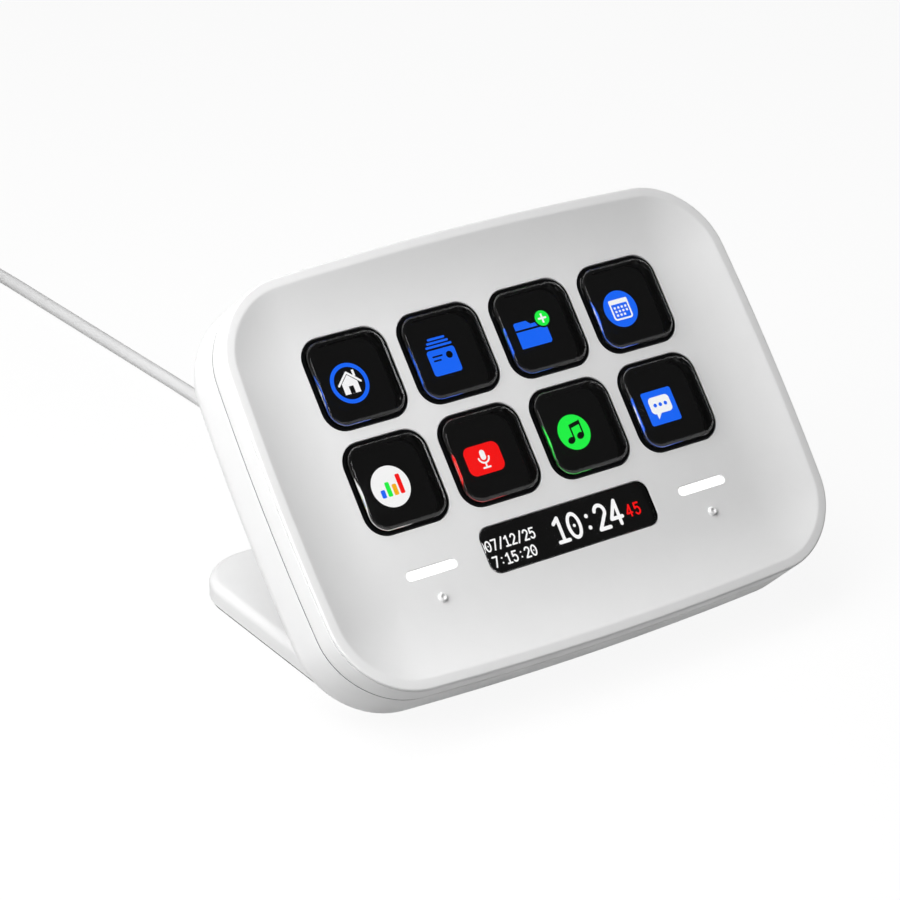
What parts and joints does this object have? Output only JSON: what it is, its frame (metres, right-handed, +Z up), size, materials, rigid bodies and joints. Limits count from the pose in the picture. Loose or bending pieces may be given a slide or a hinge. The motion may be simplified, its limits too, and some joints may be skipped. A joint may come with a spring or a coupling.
{
  "type": "desk display keypad",
  "caption": "Compact white desk keypad with square screen keys in a dished tilted face, an info display, light bars with touch points, a fixed foot and a captive cable.",
  "frame": {"origin": "on the desk, under the middle of the box of the case and foot (the cord is left out)", "axes": "+X to the user's right, +Y away from the user, +Z up"},
  "size_m": [0.119, 0.2491, 0.0706],
  "materials": {
    "white_plastic": "fine satin white",
    "black_plastic": "black, slightly glossy",
    "clear_plastic": "clear, polished",
    "display_glass": "black display glass",
    "milky_plastic": "milky white",
    "black_rubber": "dull black",
    "white_rubber": "soft white jacket",
    "silicone": "dark translucent grey",
    "grey_foam": "dull grey",
    "amber_film": "amber film",
    "green_board": "green solder mask",
    "bright_steel": "bright",
    "tinned_sheet": "plain sheet"
  },
  "bodies": {
    "case": {"face_plate": "white_plastic", "mid_frame": "white_plastic", "rear_cover": "white_plastic", "stand": "white_plastic", "base_pad": "black_rubber", "stand_weight": "bright_steel", "key_guide": "black_plastic", "dome_sheet": "silicone", "switch_sheet": "black_plastic", "key_display": "display_glass", "display_tray": "tinned_sheet", "display_ribbon": "amber_film", "info_window": "clear_plastic", "info_display": "display_glass", "light_pipe_left": "milky_plastic", "light_pipe_right": "milky_plastic", "touch_pads": "amber_film", "touch_posts": "grey_foam", "main_board": "green_board", "processor": "black_plastic", "board_parts": "black_plastic", "status_leds": "milky_plastic", "case_screws": "bright_steel", "tray_screws": "bright_steel", "board_screws": "bright_steel", "stand_screws": "bright_steel", "strain_relief": "white_rubber", "inner_lead": "white_rubber", "cable": "white_rubber", "cable_coil": "white_rubber", "cable_tie": "black_rubber", "plug_grip": "white_rubber", "plug_shell": "bright_steel"},
    "key_1": {"key_cap_1": "clear_plastic", "key_carrier_1": "black_plastic"},
    "key_2": {"key_cap_2": "clear_plastic", "key_carrier_2": "black_plastic"},
    "key_3": {"key_cap_3": "clear_plastic", "key_carrier_3": "black_plastic"},
    "key_4": {"key_cap_4": "clear_plastic", "key_carrier_4": "black_plastic"},
    "key_5": {"key_cap_5": "clear_plastic", "key_carrier_5": "black_plastic"},
    "key_6": {"key_cap_6": "clear_plastic", "key_carrier_6": "black_plastic"},
    "key_7": {"key_cap_7": "clear_plastic", "key_carrier_7": "black_plastic"},
    "key_8": {"key_cap_8": "clear_plastic", "key_carrier_8": "black_plastic"}
  },
  "joints": [
    {"name": "key_1_press", "type": "slide", "parent": "case", "child": "key_1", "axis": [0, 0.7547, -0.6561], "range_m": [0, 0.0009], "stiffness_N_per_m": 400, "springref_m": -0.0008},
    {"name": "key_2_press", "type": "slide", "parent": "case", "child": "key_2", "axis": [0, 0.7547, -0.6561], "range_m": [0, 0.0009], "stiffness_N_per_m": 400, "springref_m": -0.0008},
    {"name": "key_3_press", "type": "slide", "parent": "case", "child": "key_3", "axis": [0, 0.7547, -0.6561], "range_m": [0, 0.0009], "stiffness_N_per_m": 400, "springref_m": -0.0008},
    {"name": "key_4_press", "type": "slide", "parent": "case", "child": "key_4", "axis": [0, 0.7547, -0.6561], "range_m": [0, 0.0009], "stiffness_N_per_m": 400, "springref_m": -0.0008},
    {"name": "key_5_press", "type": "slide", "parent": "case", "child": "key_5", "axis": [0, 0.7547, -0.6561], "range_m": [0, 0.0009], "stiffness_N_per_m": 400, "springref_m": -0.0008},
    {"name": "key_6_press", "type": "slide", "parent": "case", "child": "key_6", "axis": [0, 0.7547, -0.6561], "range_m": [0, 0.0009], "stiffness_N_per_m": 400, "springref_m": -0.0008},
    {"name": "key_7_press", "type": "slide", "parent": "case", "child": "key_7", "axis": [0, 0.7547, -0.6561], "range_m": [0, 0.0009], "stiffness_N_per_m": 400, "springref_m": -0.0008},
    {"name": "key_8_press", "type": "slide", "parent": "case", "child": "key_8", "axis": [0, 0.7547, -0.6561], "range_m": [0, 0.0009], "stiffness_N_per_m": 400, "springref_m": -0.0008}
  ]
}
